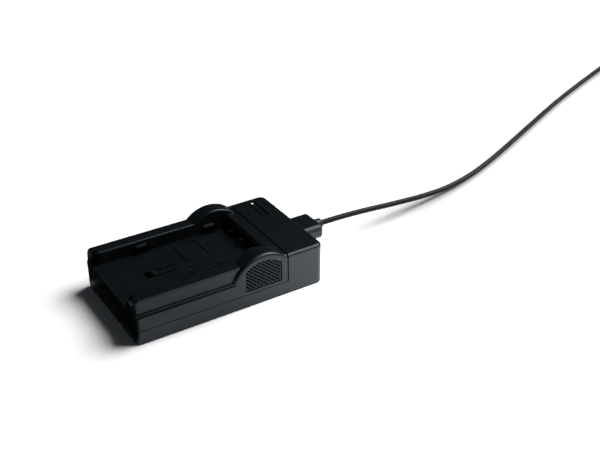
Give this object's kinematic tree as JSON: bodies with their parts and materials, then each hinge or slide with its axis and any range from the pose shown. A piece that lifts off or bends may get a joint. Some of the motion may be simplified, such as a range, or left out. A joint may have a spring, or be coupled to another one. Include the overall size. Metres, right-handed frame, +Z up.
{
  "type": "camera battery charger",
  "caption": "Low black charging cradle: an open bay between hooked rails, arched cheeks with lattice grilles, a raised head with an indicator window, and a thin USB lead from its end.",
  "frame": {"origin": "middle of the housing's underside, without the lead and its plugs", "axes": "+X along the housing, from the bay's open end to the head where the lead leaves; +Y across, towards the indicator; +Z up"},
  "size_m": [0.4565, 0.126, 0.0236],
  "materials": {
    "housing_plastic": "fine moulded texture",
    "window_plastic": "smooth, slightly glossier than the housing",
    "clear_plastic": "clear, lit green from below",
    "lamp_plastic": "translucent",
    "board_laminate": "solder mask",
    "chip_plastic": "moulded",
    "ceramic": "fired",
    "ferrite": "dull",
    "contact_metal": "plated",
    "plated_steel": "plated",
    "connector_plastic": "moulded",
    "cable_jacket": "soft, semi-matte",
    "tie_plastic": "moulded"
  },
  "bodies": {
    "root": {"base_housing": "housing_plastic", "battery_cradle": "housing_plastic", "grille_left": "housing_plastic", "grille_right": "housing_plastic", "indicator_window": "window_plastic", "light_pipe": "clear_plastic", "status_led": "lamp_plastic", "circuit_board": "board_laminate", "usb_socket_shell": "plated_steel", "usb_socket_tongue": "connector_plastic", "negative_contact": "contact_metal", "sense_contact": "contact_metal", "positive_contact": "contact_metal", "charge_controller_ic": "chip_plastic", "boost_converter_ic": "chip_plastic", "boost_inductor": "ferrite", "rectifier_diode": "chip_plastic", "ceramic_capacitors": "ceramic", "chip_resistors": "chip_plastic", "case_screws": "plated_steel", "micro_usb_plug_grip": "cable_jacket", "micro_usb_plug_shell": "plated_steel", "usb_cable": "cable_jacket", "usb_cable_coil": "cable_jacket", "cable_tie": "tie_plastic", "usb_a_plug_grip": "cable_jacket", "usb_a_plug_shell": "plated_steel", "usb_a_plug_tongue": "connector_plastic", "usb_a_plug_contacts": "contact_metal"}
  },
  "joints": []
}
